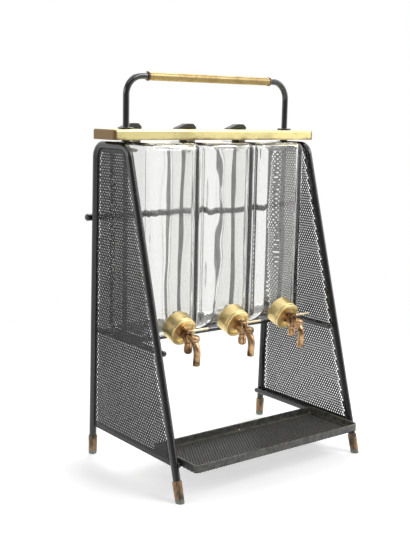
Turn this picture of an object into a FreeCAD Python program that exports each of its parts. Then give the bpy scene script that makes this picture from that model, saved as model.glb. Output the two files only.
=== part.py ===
import FreeCAD, Part
import math
import os
import Sketcher

V = FreeCAD.Vector
doc = FreeCAD.newDocument("cocktail_dispenser")

# Driving sizes in millimetres and degrees. X runs along the row of tanks, the taps face -Y, Z is up.
SIZES = [
    # side frames: a bent round bar, an inverted U whose front leg runs far forward
    ("rod_dia", 8.0), ("rail_gap", 0.15), ("frame_gap", 2.3), ("bend_radius", 14.0),
    ("rear_foot_y", 85.4), ("rear_top_y", 77.4), ("front_foot_y", -84.6), ("front_top_y", 15.4),
    ("sheet_thick", 1.0), ("weld_gap", 0.05), ("hole_dia", 9.4), ("hole_pitch", 13.0),
    ("hole_margin", 2.0),
    # rails, crossbar and shelf
    ("rail_dia", 6.0), ("rail_mid_z", 144.4), ("rail_low_z", 34.0),
    ("mid_rail_rear_over", 11.1), ("mid_rail_front_short", 2.5), ("low_rail_rear_short", 2.0),
    ("low_rail_front_short", 5.5),
    ("cross_dia", 8.0), ("cross_z", 272.0), ("cross_over", 4.0),
    ("shelf_thick", 1.5), ("shelf_rise", 1.1), ("shelf_front_y", 19.4), ("shelf_lip", 4.0),
    # ferrules on the four feet
    ("ferrule_dia", 10.0), ("ferrule_foot_dia", 9.2), ("ferrule_len", 22.0), ("ferrule_floor", 3.0),
    ("fit_gap", 0.05),
    # glass tanks
    ("tank_width", 69.0), ("rod_gap", 0.5), ("tank_front_y", 0.4), ("tank_gap", 0.5),
    ("tank_height", 210.0), ("tank_wall", 4.0), ("tank_corner", 9.0), ("tank_toe", 18.0),
    ("tank_side_round", 7.0), ("cavity_corner", 10.0),
    ("neck_tilt", 22.0), ("neck_rise", 17.0), ("neck_inset", 0.6), ("neck_dia", 24.0),
    ("neck_bore", 15.0), ("filler_dia", 12.0), ("filler_inset", 11.4), ("filler_offset", 8.0),
    # screw caps and gaskets
    ("cap_dia", 32.0), ("cap_skirt_dia", 34.0), ("cap_gap", 0.8), ("cap_length", 17.7),
    ("cap_web", 1.6), ("cap_recess", 2.0), ("cap_recess_dia", 23.0), ("cap_bead", 2.6),
    ("gasket_thick", 1.4),
    # taps
    ("tap_reach", 26.3), ("shank_dia", 9.6), ("way_dia", 5.0), ("shank_flange_dia", 14.0),
    ("shank_end", 8.0), ("barrel_dia", 12.4), ("barrel_top", 3.4), ("barrel_bottom", 6.0),
    ("plug_top_dia", 7.4), ("plug_taper", 0.05), ("plug_bore_dia", 4.4), ("run_gap", 0.05),
    ("plug_head_dia", 9.6), ("plug_head_height", 4.8), ("head_gap", 0.3),
    ("plug_stub_dia", 3.6), ("plug_stub_len", 7.0), ("nut_waist_dia", 7.8), ("nut_waist_len", 3.0),
    ("nut_bulb_dia", 9.2), ("nut_length", 12.4),
    ("lever_dia", 2.9), ("lever_length", 27.0), ("lever_height", 5.9),
    ("outlet_dia", 7.8), ("elbow_reach", 11.0), ("elbow_dia", 11.5), ("elbow_height", 7.8),
    ("spout_dia", 7.6), ("spout_reach", 15.0), ("spout_drop", 28.0), ("spout_knee", 6.4),
    ("spout_bulge", 1.8), ("spout_bend", 16.0), ("spout_start", 7.0),
    ("tail_nut_flats", 12.0), ("tail_nut_len", 4.0),
    # tie rods, nuts and top bar
    ("tie_dia", 5.0), ("tie_y", 41.4), ("tie_depth", 5.0), ("nut_flats", 7.6), ("nut_thick", 4.0),
    ("lock_nut_thick", 2.6), ("nut_room", 2.8), ("tie_tail", 2.0),
    ("bar_over", 28.6), ("bar_depth", 42.0), ("bar_height", 10.7), ("bar_corner", 4.0),
    ("bar_edge_round", 2.0), ("clad_thick", 1.0),
    # carrying handle
    ("handle_dia", 7.0), ("handle_rise", 56.0), ("handle_bend", 20.0), ("grip_dia", 9.0),
    ("grip_gap", 6.1), ("collar_dia", 10.2), ("collar_len", 2.4), ("flange_dia", 16.5),
    ("flange_thick", 2.2), ("flange_round", 1.0),
    # stoppers
    ("stopper_flange_dia", 15.6), ("stopper_flange", 2.0), ("stopper_head_dia", 14.0),
    ("stopper_height", 19.5), ("stopper_depth", 12.0), ("tab_left", 18.5), ("tab_right", 7.5),
    ("tab_flat_left", 5.0), ("tab_flat_right", 3.5), ("tab_height", 6.0), ("tab_width", 9.0),
    # drip tray
    ("tray_front_y", -97.2), ("tray_rear_y", -19.4), ("tray_rim_height", 8.2),
    ("tray_rise", 6.4), ("tray_rim_wall", 1.6), ("tray_corner", 6.0), ("lip_width", 4.2),
    ("lip_thick", 1.2), ("floor_thick", 1.0), ("floor_hole_dia", 6.9),
    ("floor_hole_pitch", 9.5), ("rivet_dia", 3.0),
    ("rivet_head", 0.8),
]

sheet = doc.addObject("Spreadsheet::Sheet", "Dims")
for row, (alias, number) in enumerate(SIZES, 1):
    sheet.set("A%d" % row, alias)
    sheet.set("B%d" % row, str(number))
    sheet.setAlias("B%d" % row, alias)
doc.recompute()


class Size:
    """A sheet size or a formula of sizes: its expression text and its present value."""

    def __init__(self, text, value):
        self.text = text
        self.value = value

    def __add__(self, other):
        return joined("+", self, other, self.value + value_of(other))

    def __radd__(self, other):
        return joined("+", other, self, value_of(other) + self.value)

    def __sub__(self, other):
        return joined("-", self, other, self.value - value_of(other))

    def __rsub__(self, other):
        return joined("-", other, self, value_of(other) - self.value)

    def __mul__(self, other):
        return joined("*", self, other, self.value * value_of(other))

    def __rmul__(self, other):
        return joined("*", other, self, value_of(other) * self.value)

    def __truediv__(self, other):
        return joined("/", self, other, self.value / value_of(other))

    def __neg__(self):
        return joined("-", 0, self, -self.value)


def value_of(size):
    return size.value if isinstance(size, Size) else float(size)


def text_of(size):
    return size.text if isinstance(size, Size) else repr(float(size))


def joined(sign, first, second, value):
    return Size("(%s %s %s)" % (text_of(first), sign, text_of(second)), value)


def root(size):
    return Size("sqrt(%s)" % size.text, math.sqrt(size.value))


def sine(size):
    return Size("sin(%s)" % size.text, math.sin(math.radians(size.value)))


def cosine(size):
    return Size("cos(%s)" % size.text, math.cos(math.radians(size.value)))


def slope_angle(size):
    return Size("(atan(%s) / 1deg)" % size.text, math.degrees(math.atan(size.value)))


class Dims:
    """Every sheet alias as a Size."""


for alias, number in SIZES:
    setattr(Dims, alias, Size("Dims." + alias, number))
d = Dims


def bind(obj, **sizes):
    for name, size in sizes.items():
        setattr(obj, name, value_of(size))
        obj.setExpression(name, text_of(size))


def place(obj, x=0, y=0, z=0, axis=None, angle=0):
    """Move obj to x, y, z, turned by angle about axis, all bound to the sheet."""
    turn = FreeCAD.Rotation(axis or V(0, 0, 1), value_of(angle))
    obj.Placement = FreeCAD.Placement(V(value_of(x), value_of(y), value_of(z)), turn)
    obj.setExpression(".Placement.Base.x", text_of(x))
    obj.setExpression(".Placement.Base.y", text_of(y))
    obj.setExpression(".Placement.Base.z", text_of(z))
    if isinstance(angle, Size):
        obj.setExpression(".Placement.Rotation.Angle", angle.text)
    return obj


def new_body(label):
    body = doc.addObject("PartDesign::Body", label)
    body.Label = label
    return body


def origin_plane(body, role):
    return [item for item in body.Origin.OriginFeatures if item.Role == role][0]


def rounded_corner(points, index, radius):
    """Tangent points, centre and turning sense of a round corner."""
    here = points[index]
    back = (points[index - 1] - here).normalize()
    ahead = (points[(index + 1) % len(points)] - here).normalize()
    half = back.getAngle(ahead) / 2
    reach = radius / math.tan(half)
    centre = here + (back + ahead).normalize() * (radius / math.sin(half))
    return here + back * reach, here + ahead * reach, centre, back.cross(ahead).z < 0


def draw(body, role, corners, closed=True, offset=None):
    """A sketch through corners (u, v) or (u, v, radius), every number bound to the sheet."""
    sketch = body.newObject("Sketcher::SketchObject", body.Name + "_sketch")
    sketch.AttachmentSupport = (origin_plane(body, role), [""])
    sketch.MapMode = "FlatFace"
    if offset is not None:
        sketch.AttachmentOffset = FreeCAD.Placement(V(0, 0, value_of(offset)), FreeCAD.Rotation())
        sketch.setExpression(".AttachmentOffset.Base.z", text_of(offset))
    points = [V(value_of(corner[0]), value_of(corner[1]), 0) for corner in corners]
    count = len(points)
    arrive = list(points)
    leave = list(points)
    arcs = {}
    for index, corner in enumerate(corners):
        if len(corner) == 3:
            radius = value_of(corner[2])
            arrive[index], leave[index], centre, left_turn = rounded_corner(points, index, radius)
            first, last = arrive[index], leave[index]
            if not left_turn:
                first, last = last, first
            start = math.atan2(first.y - centre.y, first.x - centre.x)
            stop = math.atan2(last.y - centre.y, last.x - centre.x)
            if stop < start:
                stop += 2 * math.pi
            arcs[index] = (Part.ArcOfCircle(Part.Circle(centre, V(0, 0, 1), radius), start, stop), left_turn)
    sides = range(count if closed else count - 1)
    lines = [sketch.addGeometry(Part.LineSegment(leave[i], arrive[(i + 1) % count]), False) for i in sides]
    for index, corner in enumerate(corners):
        before = lines[index - 1] if closed or index > 0 else None
        after = lines[index] if index < len(lines) else None
        if index in arcs:
            shape, left_turn = arcs[index]
            arc = sketch.addGeometry(shape, False)
            mark = sketch.addGeometry(Part.Point(points[index]), True)
            near, far = (1, 2) if left_turn else (2, 1)
            sketch.addConstraint(Sketcher.Constraint("Tangent", before, 2, arc, near))
            sketch.addConstraint(Sketcher.Constraint("Tangent", after, 1, arc, far))
            sketch.addConstraint(Sketcher.Constraint("PointOnObject", mark, 1, before))
            sketch.addConstraint(Sketcher.Constraint("PointOnObject", mark, 1, after))
            tie(sketch, Sketcher.Constraint("Radius", arc, value_of(corner[2])), corner[2])
            holder = (mark, 1)
        elif before is None:
            holder = (after, 1)
        else:
            holder = (before, 2)
            if after is not None:
                sketch.addConstraint(Sketcher.Constraint("Coincident", before, 2, after, 1))
        for kind, size in (("DistanceX", corner[0]), ("DistanceY", corner[1])):
            tie(sketch, Sketcher.Constraint(kind, -1, 1, holder[0], holder[1], value_of(size)), size)
    return sketch


def tie(sketch, constraint, size):
    index = sketch.addConstraint(constraint)
    if isinstance(size, Size):
        sketch.setExpression("Constraints[%d]" % index, size.text)


def turned(label, profile):
    """A body turned about its own Z axis from corners (radius, height)."""
    body = new_body(label)
    sketch = draw(body, "XZ_Plane", profile)
    feature = body.newObject("PartDesign::Revolution", label + "_turn")
    feature.Profile = sketch
    feature.ReferenceAxis = (sketch, ["V_Axis"])
    feature.Angle = 360
    return body


def bored(body, profile):
    """Turn a groove of corners (radius, height) out of a turned body."""
    sketch = draw(body, "XZ_Plane", profile)
    feature = body.newObject("PartDesign::Groove", body.Name + "_bore")
    feature.Profile = sketch
    feature.ReferenceAxis = (sketch, ["V_Axis"])
    feature.Angle = 360
    return body


def padded(label, role, profile, length, midplane=False, offset=None):
    body = new_body(label)
    pad = body.newObject("PartDesign::Pad", label + "_pad")
    pad.Profile = draw(body, role, profile, offset=offset)
    pad.Midplane = midplane
    bind(pad, Length=length)
    return body


def cylinder(name, radius, height, x=0, y=0, z=0, axis=None, angle=0):
    obj = doc.addObject("Part::Cylinder", name)
    bind(obj, Radius=radius, Height=height)
    return place(obj, x, y, z, axis, angle)


def box(name, length, width, height, x=0, y=0, z=0):
    obj = doc.addObject("Part::Box", name)
    bind(obj, Length=length, Width=width, Height=height)
    return place(obj, x, y, z)


def cut(label, base, tool):
    obj = doc.addObject("Part::Cut", label)
    obj.Label = label
    obj.Base = base
    obj.Tool = tool
    return obj


def common(label, base, tool):
    obj = doc.addObject("Part::Common", label)
    obj.Label = label
    obj.Base = base
    obj.Tool = tool
    return obj


def fused(label, shapes, refine=True):
    obj = doc.addObject("Part::MultiFuse", label)
    obj.Label = label
    obj.Shapes = shapes
    obj.Refine = refine
    return obj


def piped(label, role, path, radius, offset=None):
    """A round bar swept along a path of corners, its section drawn square to the path's start."""
    body = new_body(label)
    spine = draw(body, role, path, closed=False, offset=offset)
    doc.recompute()
    section = body.newObject("Sketcher::SketchObject", label + "_section")
    section.AttachmentSupport = [(spine, "Edge1")]
    section.MapMode = "NormalToEdge"
    section.MapPathParameter = 0.0
    circle = section.addGeometry(Part.Circle(V(0, 0, 0), V(0, 0, 1), value_of(radius)), False)
    section.addConstraint(Sketcher.Constraint("Coincident", circle, 3, -1, 1))
    tie(section, Sketcher.Constraint("Radius", circle, value_of(radius)), radius)
    pipe = body.newObject("PartDesign::AdditivePipe", label + "_pipe")
    pipe.Profile = section
    pipe.Spine = spine
    return body


def stretched(label, role, profile, length, offset=None):
    """A padded body centred on its sketch plane, whose side edges are ready to be rounded."""
    return padded(label, role, profile, length, midplane=True, offset=offset)


def round_edges(body, radius, wanted):
    """Fillet those edges of the body's tip whose two ends pass the test."""
    doc.recompute()
    blank = body.Tip
    edges = []
    for index, edge in enumerate(blank.Shape.Edges, 1):
        if wanted(edge.Vertexes[0].Point, edge.Vertexes[-1].Point):
            edges.append("Edge%d" % index)
    fillet = body.newObject("PartDesign::Fillet", body.Name + "_round")
    fillet.Base = (blank, edges)
    bind(fillet, Radius=radius)
    return body


def near(first, second):
    return abs(first - second) < 1e-4


kept = []


def keep(obj):
    kept.append(obj)
    return obj


# ---- Formulas that several sub-parts share ------------------------------------------------------
SIDES = (("left", -1), ("right", 1))
ROW = (("left", -1), ("centre", 0), ("right", 1))
ABOUT_X = V(1, 0, 0)
ABOUT_Y = V(0, 1, 0)

rod_r = d.rod_dia / 2
tie_r = d.tie_dia / 2
post_r = d.handle_dia / 2
rail_r = d.rail_dia / 2
shank_r = d.shank_dia / 2
filler_r = d.filler_dia / 2

# heights
shelf_top = d.rail_mid_z + d.shelf_rise
tank_top = shelf_top + d.tank_height
bar_bottom = tank_top + d.nut_room
bar_top = bar_bottom + d.bar_height
tie_top = bar_bottom + d.tie_depth
frame_top = bar_bottom - d.frame_gap - rod_r
tray_top = d.rail_low_z + d.tray_rise

# places across the row: tank beside tank with a rod between, then nut, rail and bent bar
pitch = d.tank_width + d.tie_dia + d.rod_gap * 2
post_x = pitch * 1.5
inner_x = post_x + d.nut_flats / 2 + d.rail_gap - d.weld_gap
rail_x = inner_x + d.weld_gap + rail_r
half_span = rail_x + rail_r + d.weld_gap + rod_r
bar_length = (post_x + d.bar_over) * 2
grip_length = (post_x - d.handle_bend - d.collar_len - d.grip_gap) * 2

# places from front to rear
rear_lean = (d.rear_top_y - d.rear_foot_y) / frame_top
front_lean = (d.front_top_y - d.front_foot_y) / frame_top
cross_y = (d.rear_foot_y + rear_lean * d.cross_z + d.weld_gap
           + (rod_r + d.cross_dia / 2) * root(rear_lean * rear_lean + 1))
tank_rear = cross_y - d.cross_dia / 2 - d.tank_gap
filler_y = tank_rear - d.filler_inset

# places along the tilted neck
neck_y = d.tank_front_y - d.neck_inset
neck_z = shelf_top + d.neck_rise
neck_turn = d.neck_tilt + 90
cap_end = d.cap_gap + d.cap_length
web_front = cap_end - d.cap_recess
web_back = web_front - d.cap_web
neck_end = web_back - d.gasket_thick
plug_y = neck_y - d.tap_reach * cosine(d.neck_tilt)
plug_z = neck_z - d.tap_reach * sine(d.neck_tilt)


def rear_leg_y(height):
    return d.rear_foot_y + rear_lean * height


def front_leg_y(height):
    return d.front_foot_y + front_lean * height


def floor_slab(name, height):
    """A slab around both side frames that starts at the given height."""
    margin = d.rod_dia * 2
    width = d.rear_foot_y - d.front_foot_y + margin * 2
    return box(name, half_span * 2 + margin * 2, width, frame_top + margin,
               -half_span - margin, d.front_foot_y - margin, height)


# ---- Side frames: bent bar, sheet and ferrules --------------------------------------------------
def side_frame(side, sign):
    stub = d.rod_dia
    path = [
        (d.rear_foot_y - rear_lean * stub, -stub),
        (d.rear_top_y, frame_top, d.bend_radius),
        (d.front_top_y, frame_top, d.bend_radius),
        (d.front_foot_y - front_lean * stub, -stub),
    ]
    bar = piped("bent_bar_" + side, "YZ_Plane", path, rod_r, offset=half_span * sign)
    keep(common("side_frame_" + side, bar, floor_slab("bar_slab_" + side, d.ferrule_floor)))


def grid_holes(name, corners, x):
    """Cylinders across the sheet in staggered rows, kept clear of every side of its outline."""
    points = [V(0, value_of(corner[0]), value_of(corner[1])) for corner in corners]
    across = value_of(d.hole_pitch)
    radius = value_of(d.hole_dia) / 2
    room = radius + value_of(d.hole_margin)
    rise = across * math.sin(math.radians(60))
    holes = []
    for row in range(int((points[1].z - points[0].z) / rise)):
        for column in range(-6, 12):
            spot = V(0, (column + row % 2 / 2) * across, points[0].z + room + row * rise)
            inside = True
            for index, corner in enumerate(points):
                ahead = (points[(index + 1) % 4] - corner).normalize()
                inside = inside and (spot - corner).cross(ahead).x < -room
            if inside:
                holes.append(Part.makeCylinder(radius, 4, spot + V(x - 2, 0, 0), V(1, 0, 0)))
    grid = doc.addObject("Part::Feature", name)
    grid.Shape = Part.makeCompound(holes)
    return place(grid)


def perforated_panel(side, sign):
    """The sheet, with a coarse grid of round openings."""
    inset = rod_r + d.weld_gap
    top = frame_top - inset
    rear_shift = inset * root(rear_lean * rear_lean + 1)
    front_shift = inset * root(front_lean * front_lean + 1)
    profile = [
        (rear_leg_y(d.rail_low_z) - rear_shift, d.rail_low_z),
        (rear_leg_y(top) - rear_shift, top, d.bend_radius - inset),
        (front_leg_y(top) + front_shift, top, d.bend_radius - inset),
        (front_leg_y(d.rail_low_z) + front_shift, d.rail_low_z),
    ]
    plane_x = half_span * sign
    sheet_blank = stretched("panel_sheet_" + side, "YZ_Plane", profile, d.sheet_thick, offset=plane_x)
    holes = grid_holes("panel_holes_" + side, profile, value_of(plane_x))
    keep(cut("perforated_panel_" + side, sheet_blank, holes))


def ferrule(corner, sign, foot_y, lean):
    label = "ferrule_" + corner
    x = half_span * sign
    turn = -slope_angle(lean)
    root_len = d.ferrule_floor
    profile = [
        (0, -root_len),
        (d.ferrule_foot_dia / 2, -root_len),
        (d.ferrule_dia / 2, d.ferrule_len, d.ferrule_dia * 0.06),
        (0, d.ferrule_len),
    ]
    outside = place(turned(label + "_outside", profile), x, foot_y, 0, ABOUT_X, turn)
    bore = cylinder(label + "_bore", rod_r + d.fit_gap, d.ferrule_len * 1.2, x, foot_y, 0, ABOUT_X, turn)
    sleeve = common(label + "_sleeve", outside, floor_slab(label + "_ground", d.weld_gap * 0))
    hollow = common(label + "_hollow", bore, floor_slab(label + "_floor", d.ferrule_floor))
    keep(cut(label, sleeve, hollow))


# ---- Rails, crossbar and shelf ------------------------------------------------------------------
def round_bar(label, diameter, length):
    """A straight bar along Z from the origin, with rounded ends."""
    profile = [
        (0, 0),
        (diameter / 2, 0, diameter * 0.35),
        (diameter / 2, length, diameter * 0.35),
        (0, length),
    ]
    return turned(label, profile)


def rails(side, sign):
    mid_front = front_leg_y(d.rail_mid_z) - rod_r + d.mid_rail_front_short
    mid_rear = rear_leg_y(d.rail_mid_z) + rod_r + d.mid_rail_rear_over
    low_front = front_leg_y(d.rail_low_z) - rod_r + d.low_rail_front_short
    low_rear = rear_leg_y(d.rail_low_z) + rod_r - d.low_rail_rear_short
    mid = round_bar("mid_rail_" + side, d.rail_dia, mid_rear - mid_front)
    low = round_bar("bottom_rail_" + side, d.rail_dia, low_rear - low_front)
    keep(place(mid, rail_x * sign, mid_front, d.rail_mid_z, ABOUT_X, -90))
    keep(place(low, rail_x * sign, low_front, d.rail_low_z, ABOUT_X, -90))


def rear_crossbar():
    reach = half_span + rod_r + d.cross_over
    bar = round_bar("rear_crossbar", d.cross_dia, reach * 2)
    keep(place(bar, -reach, cross_y, d.cross_z, ABOUT_Y, 90))


def tie_places():
    return [(str(number + 1), pitch * (number - 1.5)) for number in range(4)]


def shelf():
    under = shelf_top - d.shelf_thick
    fold = shelf_top - d.shelf_lip
    front, rear = d.shelf_front_y, tank_rear
    bend = d.shelf_thick * 1.2
    profile = [
        (front, shelf_top, bend),
        (front, fold),
        (front + d.shelf_thick, fold),
        (front + d.shelf_thick, under),
        (rear - d.shelf_thick, under),
        (rear - d.shelf_thick, fold),
        (rear, fold),
        (rear, shelf_top, bend),
    ]
    plate = stretched("shelf_plate", "YZ_Plane", profile, inner_x * 2)
    holes = [cylinder("shelf_hole_" + number, tie_r + d.fit_gap, d.shelf_lip, x, d.tie_y, fold)
             for number, x in tie_places()]
    keep(cut("bottle_shelf", plate, fused("shelf_holes", holes)))


# ---- Glass tanks --------------------------------------------------------------------------------
def tank_side_view(inset):
    """The tank's outline seen from the side, moved inwards by inset."""
    front, rear = d.tank_front_y + inset, tank_rear - inset
    low, high = shelf_top + inset, tank_top - inset
    return [
        (front, low, d.tank_toe - inset),
        (rear, low, d.tank_corner - inset),
        (rear, high, d.tank_corner - inset),
        (front, high, d.tank_corner - inset),
    ]


def tank_outside(name):
    block = stretched(name, "YZ_Plane", tank_side_view(d.tank_wall * 0), d.tank_width)
    return round_edges(block, d.tank_side_round, lambda start, end: near(start.x, end.x))


def tank_cavity(name):
    """Rounder at its upright corners than the outside, as blown glass is."""
    wall = d.tank_wall
    width = d.tank_width - wall * 2
    side_view = stretched(name + "_side", "YZ_Plane", tank_side_view(wall), width)
    plan = padded(name + "_plan", "XY_Plane", rounded_plan(width, d.tank_front_y + wall, tank_rear - wall,
                  d.cavity_corner), d.tank_height - wall * 2, offset=shelf_top + wall)
    return common(name, side_view, plan)


def glass_tank(side, sign):
    name = "glass_tank_" + side
    x = pitch * sign
    back = d.tank_toe
    outer = place(tank_outside(name + "_outer"), x)
    cavity = place(tank_cavity(name + "_cavity"), x)
    deep_y = neck_y + back * cosine(d.neck_tilt)
    deep_z = neck_z + back * sine(d.neck_tilt)
    neck = cylinder(name + "_neck", d.neck_dia / 2, back + neck_end, x, deep_y, deep_z, ABOUT_X, neck_turn)
    bore = cylinder(name + "_bore", d.neck_bore / 2, back + cap_end, x, deep_y, deep_z, ABOUT_X, neck_turn)
    filler = cylinder(name + "_filler", filler_r, d.tank_wall * 2, x - d.filler_offset, filler_y,
                      tank_top - d.tank_wall * 1.5)
    solid = fused(name + "_solid", [outer, neck])
    keep(cut(name, solid, fused(name + "_hollow", [cavity, bore, filler])))


# ---- Screw caps, gaskets and tail nuts, all on the tilted neck axis -----------------------------
def on_neck(obj, sign):
    return place(obj, pitch * sign, neck_y, neck_z, ABOUT_X, neck_turn)


def screw_cap(side, sign):
    outer, bore = d.cap_dia / 2, d.neck_dia / 2 + d.fit_gap * 4
    groove = cap_end - d.cap_bead
    groove_depth = d.cap_bead * 0.3
    profile = [
        (bore, d.cap_gap),
        (d.cap_skirt_dia / 2, d.cap_gap, d.cap_bead * 0.6),
        (outer, groove - groove_depth * 2),
        (outer - groove_depth, groove - groove_depth),
        (outer, groove),
        (outer, cap_end, d.cap_bead * 0.45),
        (d.cap_recess_dia / 2, cap_end),
        (d.cap_recess_dia / 2, web_front),
        (shank_r + d.fit_gap, web_front),
        (shank_r + d.fit_gap, web_back),
        (bore, web_back),
    ]
    keep(on_neck(turned("screw_cap_" + side, profile), sign))


def gasket(side, sign):
    profile = [
        (shank_r + d.fit_gap, neck_end),
        (d.neck_dia / 2, neck_end),
        (d.neck_dia / 2, web_back),
        (shank_r + d.fit_gap, web_back),
    ]
    keep(on_neck(turned("cap_gasket_" + side, profile), sign))


def hexagon(name, flats, thick, x=0, y=0, z=0):
    prism = doc.addObject("Part::Prism", name)
    prism.Polygon = 6
    bind(prism, Circumradius=flats / math.sqrt(3), Height=thick)
    return place(prism, x, y, z, angle=30)


def tail_nut(side, sign):
    name = "tail_nut_" + side
    low = neck_end - d.tail_nut_len
    blank = hexagon(name + "_hex", d.tail_nut_flats, d.tail_nut_len, z=low)
    bore = cylinder(name + "_bore", shank_r + d.fit_gap, d.tail_nut_len, z=low)
    keep(on_neck(cut(name, blank, bore), sign))


# ---- Taps: everything below is built about the plug's centre ------------------------------------
def at_plug(obj, sign):
    return place(obj, pitch * sign, plug_y, plug_z)


def plug_radius(height):
    return d.plug_top_dia / 2 - d.plug_taper * (d.barrel_top - height)


def tap_body(side, sign):
    name = "tap_body_" + side
    tilt = d.neck_tilt - 90
    flange_front = d.tap_reach - web_front - d.cap_recess * 1.1
    flange_back = d.tap_reach - web_front
    tail = d.tap_reach - d.shank_end
    flange_r = d.shank_flange_dia / 2
    shank = turned(name + "_shank", [
        (0, 0),
        (shank_r * 0.9, 0),
        (shank_r * 0.9, flange_front),
        (flange_r, flange_front, d.cap_recess * 0.4),
        (flange_r, flange_back),
        (shank_r, flange_back),
        (shank_r, tail),
        (0, tail),
    ])
    place(shank, axis=ABOUT_X, angle=tilt)
    barrel_r = d.barrel_dia / 2
    barrel = turned(name + "_barrel", [
        (0, -d.barrel_bottom),
        (barrel_r * 0.8, -d.barrel_bottom, barrel_r * 0.2),
        (barrel_r, -d.barrel_bottom * 0.4, barrel_r * 0.4),
        (barrel_r, d.barrel_top * 0.4, barrel_r * 0.4),
        (barrel_r * 0.8, d.barrel_top, barrel_r * 0.2),
        (0, d.barrel_top),
    ])
    outlet = cylinder(name + "_outlet", d.outlet_dia / 2, d.elbow_reach, axis=ABOUT_X, angle=90)
    half_high = d.elbow_height / 2
    elbow = turned(name + "_elbow", [
        (0, -half_high),
        (d.elbow_dia / 2, -half_high, half_high * 0.9),
        (d.elbow_dia / 2, half_high, half_high * 0.9),
        (0, half_high),
    ])
    place(elbow, 0, -d.elbow_reach)
    path = [
        (-d.spout_start, -d.spout_start * 0.1),
        (-d.spout_reach - d.spout_bulge, -d.spout_knee, d.spout_bend),
        (-d.spout_reach, -d.spout_drop),
    ]
    spout = piped(name + "_spout", "YZ_Plane", path, d.spout_dia / 2)
    way_r = d.way_dia / 2
    spout_way = piped(name + "_spout_way", "YZ_Plane", path, way_r)
    tail_way = cylinder(name + "_tail_way", way_r, tail + way_r, axis=ABOUT_X, angle=tilt)
    outlet_way = cylinder(name + "_outlet_way", way_r, d.elbow_reach, axis=ABOUT_X, angle=90)
    seat = doc.addObject("Part::Cone", name + "_seat")
    bottom = -d.barrel_bottom - way_r
    top = d.barrel_top + way_r
    bind(seat, Radius1=plug_radius(bottom) + d.run_gap, Radius2=plug_radius(top) + d.run_gap,
         Height=top - bottom)
    place(seat, z=bottom)
    head_room = cylinder(name + "_head_room", d.plug_head_dia / 2 + d.head_gap,
                         d.plug_head_height + d.head_gap * 2, z=d.barrel_top)
    solid = fused(name + "_solid", [shank, barrel, outlet, elbow, spout])
    ways = fused(name + "_ways", [seat, tail_way, outlet_way, spout_way, head_room])
    keep(at_plug(cut(name, solid, ways), sign))


def tap_plug(side, sign):
    name = "tap_plug_" + side
    seat_bottom = -d.barrel_bottom + d.head_gap
    head_low = d.barrel_top + d.head_gap
    head_top = head_low + d.plug_head_height
    stub_r = d.plug_stub_dia / 2
    head_r = d.plug_head_dia / 2
    blank = turned(name + "_blank", [
        (0, seat_bottom - d.plug_stub_len),
        (stub_r, seat_bottom - d.plug_stub_len),
        (stub_r, seat_bottom),
        (plug_radius(seat_bottom), seat_bottom),
        (plug_radius(head_low), head_low),
        (head_r, head_low, d.plug_head_height * 0.1),
        (head_r, head_top, d.plug_head_height * 0.4),
        (0, head_top),
    ])
    cross_r = d.plug_bore_dia / 2
    reach = d.barrel_dia
    cross = cylinder(name + "_cross", cross_r, reach, -reach / 2, 0, 0, ABOUT_Y, 90)
    socket = cylinder(name + "_socket", d.lever_dia / 2 + d.fit_gap, reach, -d.lever_dia / 2, 0,
                      d.lever_height, ABOUT_Y, 90)
    keep(at_plug(cut(name, blank, fused(name + "_bores", [cross, socket])), sign))


def tap_lever(side, sign):
    name = "tap_lever_" + side
    lever = round_bar(name, d.lever_dia, d.lever_length + d.lever_dia / 2)
    keep(place(lever, pitch * sign - d.lever_dia / 2 + d.fit_gap, plug_y, plug_z + d.lever_height,
               ABOUT_Y, 90))


def plug_nut(side, sign):
    hole_r = d.plug_stub_dia / 2 + d.fit_gap
    top = -d.barrel_bottom - d.head_gap
    hole_end = top - d.plug_stub_len
    waist_r, bulb_r = d.nut_waist_dia / 2, d.nut_bulb_dia / 2
    waist_end = top - d.nut_waist_len
    profile = [
        (0, hole_end),
        (hole_r, hole_end),
        (hole_r, top),
        (waist_r, top, waist_r * 0.15),
        (waist_r, waist_end),
        (bulb_r, waist_end - waist_r * 0.4, bulb_r * 0.3),
        (bulb_r, top - d.nut_length, bulb_r * 0.85),
        (0, top - d.nut_length),
    ]
    keep(at_plug(turned("plug_nut_" + side, profile), sign))


# ---- Tie rods, nuts, top bar and handle ---------------------------------------------------------
def tie_rods():
    low = shelf_top - d.shelf_thick - d.nut_thick - d.tie_tail
    for number, x in tie_places():
        length = tie_top - low
        chamfer = d.tie_dia * 0.15
        profile = [(0, 0), (tie_r, 0, chamfer), (tie_r, length, chamfer), (0, length)]
        rod = turned("tie_rod_" + number, profile)
        keep(place(rod, x, d.tie_y, low))


def nut_row(label, flats, thick, z):
    blanks = []
    bores = []
    for number, x in tie_places():
        blanks.append(hexagon("%s_hex_%s" % (label, number), flats, thick, x, d.tie_y, z))
        bores.append(cylinder("%s_bore_%s" % (label, number), tie_r + d.fit_gap, thick, x, d.tie_y, z))
    keep(cut(label, fused(label + "_blanks", blanks), fused(label + "_bores", bores)))


def rounded_plan(length, front, rear, corner):
    half = length / 2
    return [(-half, front, corner), (half, front, corner), (half, rear, corner), (-half, rear, corner)]


def post_holes(name, bottom, height):
    return [cylinder("%s_%s" % (name, side), post_r + d.fit_gap, height, post_x * sign, d.tie_y, bottom)
            for side, sign in SIDES]


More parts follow.
